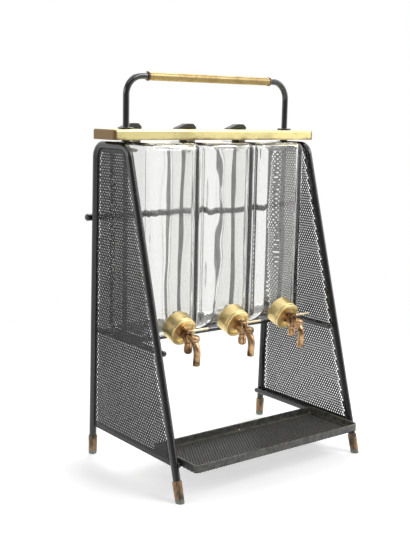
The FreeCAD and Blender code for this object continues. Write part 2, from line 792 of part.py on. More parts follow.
def top_bar():
    front, rear = d.tie_y - d.bar_depth / 2, d.tie_y + d.bar_depth / 2
    outer = padded("bar_outer", "XY_Plane", rounded_plan(bar_length, front, rear, d.bar_corner),
                   d.bar_height, offset=bar_bottom)
    top = value_of(bar_top)
    round_edges(outer, d.bar_edge_round, lambda start, end: near(start.z, top) and near(end.z, top))
    inner_plan = rounded_plan(bar_length - d.clad_thick * 2, front + d.clad_thick, rear - d.clad_thick,
                              d.bar_corner - d.clad_thick)
    space = padded("bar_space", "XY_Plane", inner_plan, d.bar_height - d.clad_thick, offset=bar_bottom)
    holes = post_holes("clad_hole", bar_bottom, d.bar_height)
    keep(cut("top_bar_cladding", outer, fused("bar_clad_cuts", [space] + holes)))
    gap = d.clad_thick + d.fit_gap
    core_plan = rounded_plan(bar_length - gap * 2, front + gap, rear - gap, d.bar_corner - gap)
    core = padded("bar_core_blank", "XY_Plane", core_plan, d.bar_height - d.clad_thick, offset=bar_bottom)
    tie_holes = [cylinder("core_tie_hole_" + number, tie_r + d.fit_gap, d.tie_depth, x, d.tie_y, bar_bottom)
                 for number, x in tie_places()]
    core_holes = post_holes("core_hole", tie_top, d.bar_height)
    keep(cut("top_bar_core", core, fused("bar_core_cuts", tie_holes + core_holes)))


def carrying_handle():
    top = bar_top + d.handle_rise
    path = [
        (-post_x, tie_top),
        (-post_x, top, d.handle_bend),
        (post_x, top, d.handle_bend),
        (post_x, tie_top),
    ]
    keep(piped("handle_bar", "XZ_Plane", path, post_r, offset=-d.tie_y))
    inner = post_r + d.fit_gap
    grip_r = d.grip_dia / 2
    grip = turned("handle_grip", [(inner, 0), (grip_r, 0), (grip_r, grip_length), (inner, grip_length)])
    keep(place(grip, -grip_length / 2, d.tie_y, top, ABOUT_Y, 90))
    collars = []
    for side, start in (("left", -grip_length / 2 - d.collar_len), ("right", grip_length / 2)):
        collar_r = d.collar_dia / 2
        edge = d.collar_len * 0.3
        ring = turned("grip_collar_" + side, [
            (inner, 0),
            (collar_r, 0, edge),
            (collar_r, d.collar_len, edge),
            (inner, d.collar_len),
        ])
        collars.append(place(ring, start, d.tie_y, top, ABOUT_Y, 90))
    keep(fused("grip_collars", collars))
    for side, sign in SIDES:
        flange_r = d.flange_dia / 2
        flange = turned("handle_flange_" + side, [
            (inner, 0),
            (flange_r, 0),
            (flange_r, d.flange_thick, d.flange_round),
            (inner, d.flange_thick),
        ])
        keep(place(flange, post_x * sign, d.tie_y, bar_top))


# ---- Stoppers -----------------------------------------------------------------------------------
def stopper(side, sign):
    label = "stopper_" + side
    stem_r = filler_r - d.fit_gap
    flange_r, head_r = d.stopper_flange_dia / 2, d.stopper_head_dia / 2
    tab_base = d.stopper_height - d.tab_height
    body = turned(label, [
        (0, -d.stopper_depth),
        (stem_r, -d.stopper_depth, stem_r * 0.2),
        (stem_r, 0),
        (flange_r, 0),
        (flange_r, d.stopper_flange, d.stopper_flange * 0.25),
        (head_r, d.stopper_flange),
        (head_r, tab_base + d.tab_height * 0.2),
        (0, tab_base + d.tab_height * 0.2),
    ])
    tab = body.newObject("PartDesign::Pad", label + "_tab")
    tab.Profile = draw(body, "XZ_Plane", [
        (-d.tab_left, tab_base),
        (d.tab_right, tab_base),
        (d.tab_right, tab_base + d.tab_height * 0.4),
        (d.tab_flat_right, d.stopper_height, d.tab_height * 0.15),
        (-d.tab_flat_left, d.stopper_height, d.tab_height * 0.15),
        (-d.tab_left, tab_base + d.tab_height * 0.15),
    ])
    tab.Midplane = True
    bind(tab, Length=d.tab_width)
    keep(place(body, pitch * sign - d.filler_offset, filler_y, tank_top))


# ---- Drip tray ----------------------------------------------------------------------------------
tray_low = tray_top - d.tray_rim_height
rim_foot = tray_low + d.floor_thick + d.weld_gap
lip_top = rim_foot + d.lip_thick
rivet_y = d.tray_rear_y - d.tray_rim_wall - d.lip_width / 2
rivet_x = inner_x - d.tray_corner


def tray_plan(inset):
    """The tray's rounded outline, moved inwards by inset."""
    return rounded_plan(inner_x * 2 - inset * 2, d.tray_front_y + inset, d.tray_rear_y - inset,
                        d.tray_corner - inset)


def tray_rim():
    """An angle strip: the upright wall, and a lip that lies on the floor sheet."""
    wall = d.tray_rim_wall
    margin = wall + d.lip_width
    outer = padded("tray_outer", "XY_Plane", tray_plan(wall * 0), tray_top - rim_foot, offset=rim_foot)
    inner = padded("tray_inner", "XY_Plane", tray_plan(wall), d.tray_rim_height, offset=lip_top)
    window = box("lip_window", inner_x * 2 - margin * 2, d.tray_rear_y - d.tray_front_y - margin * 2,
                 d.tray_rim_height, -inner_x + margin, d.tray_front_y + margin, tray_low)
    keep(cut("tray_rim", outer, fused("tray_rim_cuts", [inner, window] + rivet_holes("lip"))))


def rivet_holes(sheet_name):
    return [cylinder("rivet_hole_%s_%s" % (sheet_name, side), d.rivet_dia / 4 + d.fit_gap,
                     lip_top - tray_low, rivet_x * sign, rivet_y, tray_low)
            for side, sign in ROW]


def floor_holes():
    """A staggered grid of openings in the part of the sheet that the lip leaves free."""
    radius = value_of(d.floor_hole_dia) / 2
    across = value_of(d.floor_hole_pitch)
    rise = across * math.sin(math.radians(60))
    edge = value_of(d.tray_rim_wall + d.lip_width + d.hole_margin) + radius
    thick = value_of(d.floor_thick)
    front = value_of(d.tray_front_y) + edge
    depth = value_of(d.tray_rear_y) - edge - front
    count = int((value_of(inner_x) - edge) / across)
    rows = int(depth / rise)
    start = front + (depth - rows * rise) / 2
    holes = []
    for row in range(rows + 1):
        shift = row % 2
        for column in range(-count, count + 1 - shift):
            spot = V((column + shift / 2) * across, start + row * rise, value_of(tray_low) - thick)
            holes.append(Part.makeCylinder(radius, thick * 3, spot))
    grid = doc.addObject("Part::Feature", "floor_holes")
    grid.Shape = Part.makeCompound(holes)
    return place(grid)


def tray_floor():
    sheet = padded("floor_sheet", "XY_Plane", tray_plan(d.weld_gap * 0), d.floor_thick, offset=tray_low)
    keep(cut("tray_floor", sheet, fused("floor_cuts", [floor_holes()] + rivet_holes("floor"))))


def tray_rivets():
    """Rivets along the rear that hold the floor sheet to the lip."""
    rivets = []
    grip = lip_top - tray_low
    head_r, stem_r = d.rivet_dia / 2, d.rivet_dia / 4
    for side, sign in ROW:
        rivet = turned("tray_rivet_" + side, [
            (0, -d.rivet_head),
            (head_r, -d.rivet_head, d.rivet_head * 0.6),
            (head_r, 0),
            (stem_r, 0),
            (stem_r, grip),
            (head_r, grip),
            (head_r, grip + d.rivet_head, d.rivet_head * 0.6),
            (0, grip + d.rivet_head),
        ])
        rivets.append(place(rivet, rivet_x * sign, rivet_y, tray_low))
    keep(fused("tray_rivets", rivets))


# ---- The whole dispenser ------------------------------------------------------------------------
for side, sign in SIDES:
    side_frame(side, sign)
    perforated_panel(side, sign)
    ferrule("rear_" + side, sign, d.rear_foot_y, rear_lean)
    ferrule("front_" + side, sign, d.front_foot_y, front_lean)
    rails(side, sign)
rear_crossbar()
shelf()
for side, sign in ROW:
    glass_tank(side, sign)
    screw_cap(side, sign)
    gasket(side, sign)
    tail_nut(side, sign)
    tap_body(side, sign)
    tap_plug(side, sign)
    tap_lever(side, sign)
    plug_nut(side, sign)
    stopper(side, sign)
tie_rods()
nut_row("shelf_nuts", d.nut_flats, d.nut_thick, shelf_top - d.shelf_thick - d.nut_thick)
nut_row("lock_nuts", d.nut_flats, d.lock_nut_thick, bar_bottom - d.lock_nut_thick)
top_bar()
carrying_handle()
tray_rim()
tray_floor()
tray_rivets()
doc.recompute()

for obj in doc.Objects:
    if "Invalid" in obj.State or "Error" in obj.State:
        raise RuntimeError("%s failed: %s" % (obj.Name, obj.State))
for obj in kept:
    if obj.Shape.isNull() or not obj.Shape.isValid():
        raise RuntimeError("%s has no valid shape" % obj.Label)

os.makedirs("parts", exist_ok=True)
for obj in kept:
    obj.Shape.exportStep("parts/%s.step" % obj.Label)
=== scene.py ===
import math

import bmesh
import bpy
from mathutils import Matrix, Vector


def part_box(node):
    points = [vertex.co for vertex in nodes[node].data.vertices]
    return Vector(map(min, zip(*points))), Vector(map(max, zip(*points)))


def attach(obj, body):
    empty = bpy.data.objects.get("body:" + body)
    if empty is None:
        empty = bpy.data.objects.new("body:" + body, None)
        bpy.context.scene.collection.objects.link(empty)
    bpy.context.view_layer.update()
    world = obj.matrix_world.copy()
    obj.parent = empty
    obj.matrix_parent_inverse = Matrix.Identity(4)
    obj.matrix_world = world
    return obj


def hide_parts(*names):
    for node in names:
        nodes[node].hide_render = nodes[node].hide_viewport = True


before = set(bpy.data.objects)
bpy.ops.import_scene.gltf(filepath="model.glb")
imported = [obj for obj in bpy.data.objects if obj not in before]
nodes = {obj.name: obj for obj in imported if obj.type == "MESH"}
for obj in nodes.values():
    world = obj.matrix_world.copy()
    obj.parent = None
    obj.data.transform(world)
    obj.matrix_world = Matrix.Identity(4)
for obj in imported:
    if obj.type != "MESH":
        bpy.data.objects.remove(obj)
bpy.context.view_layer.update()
scene = bpy.context.scene
scene.view_settings.view_transform = "Standard"
rootBody = "dispenser"
sides = ("left", "right")
row = ("left", "centre", "right")
print("frame loaded:", len(nodes), "nodes")


class Wire:
    # a socket that can be added, multiplied and so on like a number
    def __init__(self, paint, socket):
        self.paint = paint
        self.socket = socket

    def calc(self, operation, first, second):
        return self.paint.node("ShaderNodeMath", {"operation": operation}, {0: first, 1: second})

    def __add__(self, other):
        return self.calc("ADD", self, other)

    def __sub__(self, other):
        return self.calc("SUBTRACT", self, other)

    def __rsub__(self, other):
        return self.calc("SUBTRACT", other, self)

    def __mul__(self, other):
        return self.calc("MULTIPLY", self, other)

    def __pow__(self, other):
        return self.calc("POWER", self, other)

    __radd__ = __add__


class Paint:
    # a material and the nodes that it is made of
    def __init__(self, name):
        self.material = bpy.data.materials.new(name)
        self.material.use_nodes = True
        self.tree = self.material.node_tree
        self.tree.nodes.clear()

    def node(self, kind, settings, inputs, output=0):
        made = self.tree.nodes.new(kind)
        for name, value in settings.items():
            if name == "stops":
                ramp = made.color_ramp
                while len(ramp.elements) < len(value):
                    ramp.elements.new(0.5)
                for element, (place, colour) in zip(ramp.elements, value):
                    element.position = place
                    element.color = (*colour, 1) if isinstance(colour, tuple) else (colour, colour, colour, 1)
            else:
                setattr(made, name, value)
        for name, value in inputs.items():
            if isinstance(value, Wire):
                self.tree.links.new(value.socket, made.inputs[name])
            else:
                made.inputs[name].default_value = value
        return Wire(self, made.outputs[output]) if len(made.outputs) else None

    def place(self, stretch=(1, 1, 1)):
        spot = self.node("ShaderNodeTexCoord", {}, {}, "Object")
        return self.node("ShaderNodeMapping", {}, {"Vector": spot, "Scale": stretch})

    def noise(self, scale, detail=3, rough=0.55, stretch=(1, 1, 1)):
        inputs = {"Vector": self.place(stretch), "Scale": scale, "Detail": detail, "Roughness": rough}
        return self.node("ShaderNodeTexNoise", {}, inputs)

    def along(self, axis):
        # the place along one axis
        return self.node("ShaderNodeSeparateXYZ", {}, {"Vector": self.place()}, axis)

    def level(self, value, low, high):
        # 0 at low and beyond, 1 at high and beyond
        limits = {"Value": value, "From Min": low, "From Max": high}
        return self.node("ShaderNodeMapRange", {"interpolation_type": "SMOOTHSTEP"}, limits)

    def mix(self, share, first, second):
        colours = {0: share, 6: first, 7: second}
        return self.node("ShaderNodeMix", {"data_type": "RGBA"}, colours, 2)

    def bump(self, height, strength, distance):
        return self.node("ShaderNodeBump", {}, {"Height": height, "Strength": strength, "Distance": distance})

    def surface(self, inputs):
        return self.node("ShaderNodeBsdfPrincipled", {}, inputs)

    def ray(self, kind):
        return self.node("ShaderNodeLightPath", {}, {}, "Is %s Ray" % kind)

    def done(self, shader):
        self.node("ShaderNodeOutputMaterial", {}, {"Surface": shader})
        return self.material


def rgb(red, green, blue):
    return (red, green, blue, 1)


# colours are linear red, green and blue; lengths are in metres
lacquer = {"dark": rgb(0.004, 0.004, 0.004), "worn": rgb(0.060, 0.058, 0.050), "rough": 0.22, "coat": 0.5}
sheetLacquer = {
    "dark": rgb(0.004, 0.004, 0.004),
    "worn": rgb(0.030, 0.030, 0.028),
    "rough": 0.34,
    "coat": 0.2,
}
traySteel = {
    # painted light and shade: the top face is given a lighter colour than the hole walls and underside below
    # it
    "top": rgb(0.13, 0.128, 0.12),
    "scuffed": rgb(0.26, 0.25, 0.22),
    "hole": rgb(0.006, 0.006, 0.006),  # painted shade: the walls of the holes and the underside are painted near black
    "skin": 0.0002,
    "rough": 0.34,
    "coat": 0.2,
}
rimSteel = {
    "dark": rgb(0.020, 0.020, 0.020),
    "worn": rgb(0.100, 0.098, 0.088),
    "olive": rgb(0.150, 0.145, 0.105),
    "edge": 0.0006,  # height of the rubbed upper edge
    "lipEdge": 0.0058,  # from the outside of the rim to the edge of its lip
    "lipBand": 0.0004,
    "lipFade": 0.0008,
    "corner": (0.010, 0.002),  # inside the right end, where the wear starts and is full
    "rough": 0.34,
    "coat": 0.2,
}
blackGloss = {
    "colour": rgb(0.012, 0.012, 0.013),
    "haze": rgb(0.034, 0.034, 0.036),
    "rough": 0.14,
    "coat": 0.6,
    "coatRough": 0.08,
}
paleBrass = {
    "light": rgb(0.92, 0.80, 0.37),
    "brown": rgb(0.21, 0.14, 0.072),
    "paintedEndShade": (0.006, 0.002),  # painted shade: how far inside each end of the bar the painted brown shade starts and is full
    "footBrown": (0.0055, 0.0022),  # where the darker brown starts and is full above its lower edge
    "footWander": 0.005,
    "rough": 0.30,
}
goldBrass = {"light": rgb(0.38, 0.285, 0.13), "deep": rgb(0.22, 0.135, 0.052), "rough": 0.38}
capBrass = {"light": rgb(0.98, 0.79, 0.38), "deep": rgb(0.68, 0.47, 0.19), "rough": 0.33}
patina = {"light": rgb(0.64, 0.40, 0.21), "deep": rgb(0.070, 0.036, 0.022), "rough": 0.28}
leverMetal = {"light": rgb(0.74, 0.62, 0.45), "deep": rgb(0.34, 0.25, 0.16), "rough": 0.32}
ferruleMetal = {
    "light": rgb(0.32, 0.20, 0.11),
    "deep": rgb(0.085, 0.080, 0.065),
    "tip": rgb(0.20, 0.22, 0.19),
    "foot": 0.005,  # height of the worn foot
    "fade": 0.003,
    "wander": 0.004,
    "rough": 0.42,
}
rivetBrass = {"light": rgb(0.93, 0.85, 0.55), "deep": rgb(0.6, 0.5, 0.3), "rough": 0.25}
darkCollar = {"light": rgb(0.17, 0.12, 0.08), "deep": rgb(0.04, 0.03, 0.025), "rough": 0.35}
rodSteel = {"light": rgb(0.10, 0.10, 0.10), "deep": rgb(0.03, 0.03, 0.03), "rough": 0.35}
plated = {"light": rgb(0.60, 0.60, 0.60), "deep": rgb(0.35, 0.35, 0.35), "rough": 0.3}
clearGlass = {
    "tint": rgb(0.99, 0.99, 0.98),
    "index": 1.46,
    "clear": 0.97,  # the rest is a pale film on the glass
    "waves": 11,
    "waveStretch": (2.2, 1, 1.15),
    "waveDepth": 0.0055,
    "skin": 0.0015,  # the waves lie on the inside of the front and rear walls, deeper than this
}
hardwood = {"dark": rgb(0.16, 0.085, 0.040), "light": rgb(0.34, 0.20, 0.10)}
blackRubber = {"colour": rgb(0.010, 0.010, 0.010), "grey": rgb(0.030, 0.030, 0.030), "rough": 0.38}
# the part of the stopper that lies deeper than this below the bar's top is a pale bung
cork = {"pale": rgb(0.84, 0.80, 0.72), "top": 0.003, "fade": 0.0005}


def lacquerPaint(name, finish):
    paint = Paint(name)
    cloud = paint.noise(55, 4)
    grain = paint.noise(900, 2)
    scuffs = paint.level(paint.noise(160, 6, 0.7), 0.60, 0.74)
    colour = paint.mix(scuffs * 0.7 + cloud * 0.15, finish["dark"], finish["worn"])
    return paint.done(paint.surface({
        "Base Color": colour,
        "Roughness": finish["rough"] + cloud * 0.10 + scuffs * 0.15,
        "Coat Weight": finish["coat"],
        "Coat Roughness": 0.12,
        "Normal": paint.bump(grain * 0.5 + cloud, 0.25, 0.0004),
    }))


def metalPaint(name, finish, brush=(1, 1, 1), brushScale=300, brushDepth=0.1, stain=0.5, spotted=0.3):
    paint = Paint(name)
    cloud = paint.noise(48, 4, 0.6)
    lines = paint.noise(brushScale, 3, 0.6, brush)
    spots = paint.level(paint.noise(210, 5, 0.65), 0.56, 0.72)
    darkening = paint.level(cloud, 0.36, 0.68) * stain + spots * spotted
    colour = paint.mix(paint.level(darkening + (lines - 0.5) * 0.25, 0, 1), finish["light"], finish["deep"])
    return paint.done(paint.surface({
        "Base Color": colour,
        "Metallic": 1.0,
        "Roughness": finish["rough"] + darkening * 0.12 + (lines - 0.5) * 0.1,
        "Normal": paint.bump(lines + cloud * 0.4, brushDepth, 0.0003),
    }))


def glossPaint(name, finish):
    paint = Paint(name)
    cloud = paint.noise(70, 4)
    return paint.done(paint.surface({
        "Base Color": paint.mix(paint.level(cloud, 0.45, 0.75), finish["colour"], finish["haze"]),
        "Roughness": finish["rough"] + cloud * 0.08,
        "Coat Weight": finish["coat"],
        "Coat Roughness": finish["coatRough"],
        "Normal": paint.bump(paint.noise(400, 3), 0.06, 0.0003),
    }))


def rubberPaint(name, finish):
    paint = Paint(name)
    cloud = paint.noise(120, 4)
    return paint.done(paint.surface({
        "Base Color": paint.mix(cloud, finish["colour"], finish["grey"]),
        "Roughness": finish["rough"] + cloud * 0.12,
        "Normal": paint.bump(paint.noise(1500, 3), 0.2, 0.0002),
    }))


def stopperPaint(name, finish, bung):
    paint = Paint(name)
    cloud = paint.noise(120, 4)
    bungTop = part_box("top_bar_cladding")[1].z - bung["top"]
    above = paint.level(paint.along("Z"), bungTop, bungTop + bung["fade"])
    black = paint.mix(cloud, finish["colour"], finish["grey"])
    return paint.done(paint.surface({
        "Base Color": paint.mix(above, bung["pale"], black),
        "Roughness": finish["rough"] + cloud * 0.12,
        "Normal": paint.bump(paint.noise(1500, 3), 0.2, 0.0002),
    }))


def barPaint(name, finish):
    # pale brushed sheet with painted shade in brown on its end faces, and darker brown along its lower edge
    paint = Paint(name)
    low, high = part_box("top_bar_cladding")
    lines = paint.noise(900, 4, 0.6, (0.05, 1, 1))
    cloud = paint.noise(46, 5, 0.65)
    mottle = paint.level(paint.noise(60, 5, 0.7, (0.5, 1, 1)), 0.40, 0.66)
    across = paint.along("X")
    endStart, endFull = finish["paintedEndShade"]
    footStart, footFull = finish["footBrown"]
    # painted shade: the end faces of the bar turn brown
    endShade = paint.level(across * across, (high.x - endStart) ** 2, (high.x - endFull) ** 2)
    foot = paint.level(paint.along("Z") + cloud * finish["footWander"], low.z + footStart, low.z + footFull)
    stains = paint.level(paint.noise(150, 6, 0.7), 0.58, 0.78)
    # the share of brown: painted shade at each end, the darker lower edge, real stains and mottling
    darkening = endShade * (0.85 + cloud * 0.4) + foot * 0.6 + stains * 0.3 + mottle * 0.36 + (lines - 0.5) * 0.2
    return paint.done(paint.surface({
        "Base Color": paint.mix(paint.level(darkening, 0, 1), finish["light"], finish["brown"]),
        "Metallic": 1.0,
        "Roughness": finish["rough"] + endShade * 0.1 + (lines - 0.5) * 0.15,
        "Normal": paint.bump(lines, 0.1, 0.0003),
    }))


def woodPaint(name, finish):
    paint = Paint(name)
    grain = paint.noise(60, 5, 0.6, (0.15, 1, 1))
    return paint.done(paint.surface({
        "Base Color": paint.mix(grain, finish["dark"], finish["light"]),
        "Roughness": 0.55 + grain * 0.15,
        "Normal": paint.bump(grain, 0.3, 0.0005),
    }))


def glassPaint(name, finish):
    # moulded glass: slow waves on the inside of its walls bend what is seen through it
    paint = Paint(name)
    low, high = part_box("glass_tank_centre")
    middle = (low.z + high.z) / 2
    front = min(v.co.y for v in nodes["glass_tank_centre"].data.vertices if v.co.z > middle)
    depth = paint.along("Y")
    skin = finish["skin"]
    inside = paint.level(depth, front + skin * 0.5, front + skin * 1.8)
    inside = inside * paint.level(depth, high.y - skin * 0.5, high.y - skin * 1.8)
    waves = paint.noise(finish["waves"], 1, 0.2, finish["waveStretch"]) - 0.5
    return paint.done(paint.surface({
        "Base Color": finish["tint"],
        "Transmission Weight": finish["clear"],
        "IOR": finish["index"],
        "Roughness": 0.0,
        "Normal": paint.bump(waves * inside, 1.0, finish["waveDepth"]),
    }))


def rimPaint(name, finish):
    # lacquer rubbed through to olive metal along the upper edge and the lip
    paint = Paint(name)
    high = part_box("tray_rim")[1]
    cloud = paint.noise(55, 4)
    wear = paint.level(paint.noise(140, 5, 0.65), 0.35, 0.65)
    top = paint.level(paint.along("Z"), high.z - finish["edge"] * 2, high.z - finish["edge"])
    depth = paint.along("Y")
    lipEdge = high.y - finish["lipEdge"]
    lipEnd = lipEdge + finish["lipBand"]
    lip = paint.level(depth, lipEdge - finish["lipFade"], lipEdge)
    lip = lip * paint.level(depth, lipEnd + finish["lipFade"], lipEnd)
    cornerStart, cornerFull = finish["corner"]
    corner = paint.level(paint.along("X"), high.x - cornerStart, high.x - cornerFull) * 0.6
    rubbed = paint.level((lip + corner) * (wear * 0.6 + 0.4) + top * (wear * 0.75 + 0.1), 0, 1)
    lacquered = paint.mix(wear * 0.7 + cloud * 0.2, finish["dark"], finish["worn"])
    return paint.done(paint.surface({
        "Base Color": paint.mix(rubbed, lacquered, finish["olive"]),
        "Roughness": finish["rough"] + cloud * 0.15,
        "Coat Weight": finish["coat"],
        "Coat Roughness": 0.2,
        "Normal": paint.bump(paint.noise(600, 3) * 0.5 + cloud, 0.25, 0.0004),
    }))


def trayPaint(name, finish):
    # a dark perforated sheet: its top face painted lighter, with real scuffs, and painted shade on the walls
    # of its holes and its underside
    paint = Paint(name)
    cloud = paint.noise(55, 4)
    scuffs = paint.level(paint.noise(160, 6, 0.7), 0.56, 0.74)
    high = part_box("tray_floor")[1]
    # painted light and shade by height: 1 on the top face, 0 on the hole walls and underside
    above = paint.level(paint.along("Z"), high.z - finish["skin"] * 2, high.z - finish["skin"])
    top = paint.mix(scuffs * 0.8 + (cloud - 0.5) * 0.4, finish["top"], finish["scuffed"])
    return paint.done(paint.surface({
        "Base Color": paint.mix(above, finish["hole"], top),
        "Roughness": finish["rough"] + cloud * 0.15 + (1 - above) * 0.4,
        "Coat Weight": above * finish["coat"],
        "Coat Roughness": 0.2,
        "Normal": paint.bump(paint.noise(900, 2), 0.2, 0.0003),
    }))


def ferrulePaint(name, finish):
    # aged brass with a worn grey foot
    paint = Paint(name)
    cloud = paint.noise(150, 4, 0.65, (1, 1, 0.4))
    height = paint.along("Z") + cloud * finish["wander"]
    foot = paint.level(height, finish["foot"] + finish["fade"], finish["foot"])
    aged = paint.mix(paint.level(cloud, 0.42, 0.60), finish["light"], finish["deep"])
    return paint.done(paint.surface({
        "Base Color": paint.mix(foot, aged, finish["tip"]),
        "Metallic": 1.0,
        "Roughness": finish["rough"] + cloud * 0.15,
        "Normal": paint.bump(cloud, 0.2, 0.0004),
    }))


frameFinish = lacquerPaint("charcoalLacquer", lacquer)
sheetFinish = lacquerPaint("sheetLacquer", sheetLacquer)
trayFinish = trayPaint("trayLacquer", traySteel)
rimFinish = rimPaint("rimLacquer", rimSteel)
handleFinish = glossPaint("blackEnamel", blackGloss)
barFinish = barPaint("paleBarBrass", paleBrass)
gripFinish = metalPaint("gripBrass", goldBrass, (0.08, 1, 1), 300, 0.0, 0.5, 0.1)
collarFinish = metalPaint("collarBronze", darkCollar, stain=0.5)
capFinish = metalPaint("capBrass", capBrass, brushDepth=0.02, stain=0.45, spotted=0.5)
tapFinish = metalPaint("tapBronze", patina, stain=1.0, spotted=0.6)
leverFinish = metalPaint("leverBronze", leverMetal, stain=0.4)
ferruleFinish = ferrulePaint("ferruleBrass", ferruleMetal)
rivetFinish = metalPaint("rivetBrass", rivetBrass, stain=0.1)
rodFinish = metalPaint("blackRod", rodSteel, stain=0.6)
nutFinish = metalPaint("platedNut", plated, stain=0.4)
sealFinish = rubberPaint("sealRubber", blackRubber)
stopperFinish = stopperPaint("stopperRubber", blackRubber, cork)
woodFinish = woodPaint("barWood", hardwood)
glassFinish = glassPaint("tankGlass", clearGlass)
print("finishes made")


def dress(finish, *names):
    for name in names:
        mesh = nodes[name].data
        mesh.materials.clear()
        mesh.materials.append(finish)


for side in sides:
    dress(frameFinish, "side_frame_" + side, "mid_rail_" + side, "bottom_rail_" + side)
    dress(sheetFinish, "perforated_panel_" + side)
    dress(ferruleFinish, "ferrule_rear_" + side, "ferrule_front_" + side)
    dress(handleFinish, "handle_flange_" + side)
dress(frameFinish, "rear_crossbar", "bottle_shelf")
dress(rimFinish, "tray_rim")
dress(trayFinish, "tray_floor")
dress(rivetFinish, "tray_rivets")
dress(handleFinish, "handle_bar")
dress(gripFinish, "handle_grip")
dress(collarFinish, "grip_collars")
dress(barFinish, "top_bar_cladding")
dress(woodFinish, "top_bar_core")
dress(rodFinish, "tie_rod_1", "tie_rod_2", "tie_rod_3", "tie_rod_4", "shelf_nuts", "lock_nuts")
for spot in row:
    dress(glassFinish, "glass_tank_" + spot)
    dress(capFinish, "screw_cap_" + spot)
    dress(sealFinish, "cap_gasket_" + spot)
    dress(nutFinish, "tail_nut_" + spot)
    dress(tapFinish, "tap_body_" + spot, "tap_plug_" + spot, "plug_nut_" + spot)
    dress(leverFinish, "tap_lever_" + spot)
    dress(stopperFinish, "stopper_" + spot)
print("frame nodes dressed")


def addPiece(name, bm, finish, slotName, *replaced, body=rootBody, smooth=True):
    mesh = bpy.data.meshes.new(name)
    for face in bm.faces:
        face.smooth = smooth
    bm.to_mesh(mesh)
    bm.free()
    mesh.materials.append(finish)
    piece = bpy.data.objects.new(name, mesh)
    scene.collection.objects.link(piece)
    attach(piece, body)
    if replaced:
        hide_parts(*replaced)
    return piece


sameLevel = 1e-5  # heights closer than this are one level
sheet = {
    "pitch": 0.0034,  # hole to hole along a row
    "hole": 0.00118,  # hole radius
    "trayHole": 0.00135,  # hole radius in the tray's floor
    "edgeHole": 0.00160,  # radius of the first and last hole of a row in a side sheet
    "holeSides": 8,
    "border": 0.0013,  # plain sheet between the bar and the first holes
    "hem": 0.0042,  # plain strip along the bottom rail
    "thick": 0.001,
    "panelCorner": 0.010,  # inside radius of the bent bar
    "trayCorner": 0.006,
    "cornerCuts": (15, 30, 45, 60, 75),  # degrees of the cuts that round a tray corner
}
sheetRise = sheet["pitch"] * math.sin(math.radians(60))  # from one row of holes to the next


def panelEdges(side):
    # a point on each straight edge of the sheet, with the direction out of the sheet
    low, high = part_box("perforated_panel_" + side)
    points = [v.co for v in nodes["perforated_panel_" + side].data.vertices]
    foot = [p.y for p in points if p.z < low.z + sameLevel]
    shoulderZ = high.z - sheet["panelCorner"] * 1.5
    shoulder = [p for p in points if abs(p.z - shoulderZ) < sheet["panelCorner"]]
    edges = []
    for footY, sign in ((max(foot), 1), (min(foot), -1)):
        steepest = min(((footY - p.y) * sign / (p.z - low.z) for p in shoulder))
        edges.append((Vector((0, footY, low.z)), Vector((0, sign, steepest)).normalized(), sheet["border"]))
    edges.append((Vector((0, high.y, high.z)), Vector((0, 0, 1)), sheet["border"]))
    edges.append((Vector((0, low.y, low.z)), Vector((0, 0, -1)), sheet["hem"]))
    return edges


def trayEdges(low, high):
    # the tray's outline, drawn with its width along Y and its depth along Z
    edges = []
    for sign, corner in ((-1, Vector((0, low.x, low.y))), (1, Vector((0, high.x, high.y)))):
        edges.append((corner, Vector((0, sign, 0)), 0))
        edges.append((corner, Vector((0, 0, sign)), 0))
    radius = sheet["trayCorner"]
    for signX, cornerX in ((-1, low.x), (1, high.x)):
        for signY, cornerY in ((-1, low.y), (1, high.y)):
            centre = Vector((0, cornerX - signX * radius, cornerY - signY * radius))
            for angle in sheet["cornerCuts"]:
                turn = math.radians(angle)
                out = Vector((0, signX * math.cos(turn), signY * math.sin(turn)))
                edges.append((centre + out * radius, out, 0))
    return edges


def sheetCell(holeRadius):
    bm = bmesh.new()
    radius = sheet["pitch"] / math.sqrt(3)
    rim = bmesh.ops.create_circle(bm, segments=6, radius=radius)["verts"]
    if holeRadius:
        bmesh.ops.create_circle(bm, segments=sheet["holeSides"], radius=holeRadius)
        bmesh.ops.bridge_loops(bm, edges=bm.edges[:])
    else:
        bmesh.ops.contextual_create(bm, geom=rim)
    turn = Matrix.Rotation(math.radians(90), 3, "Y")
    bmesh.ops.rotate(bm, verts=bm.verts[:], matrix=turn)
    cell = bpy.data.meshes.new("sheetCell")
    bm.to_mesh(cell)
    bm.free()
    return cell


def cellRow(target, cell, firstY, count, z):
    if count < 1:
        return
    strip = bmesh.new()
    for step in range(count):
        known = len(strip.verts)
        strip.from_mesh(cell)
        strip.verts.ensure_lookup_table()
        spot = (0, firstY + step * sheet["pitch"], z)
        bmesh.ops.translate(strip, verts=strip.verts[known:], vec=spot)
    mesh = bpy.data.meshes.new("cellRow")
    strip.to_mesh(mesh)
    strip.free()
    target.from_mesh(mesh)
    bpy.data.meshes.remove(mesh)


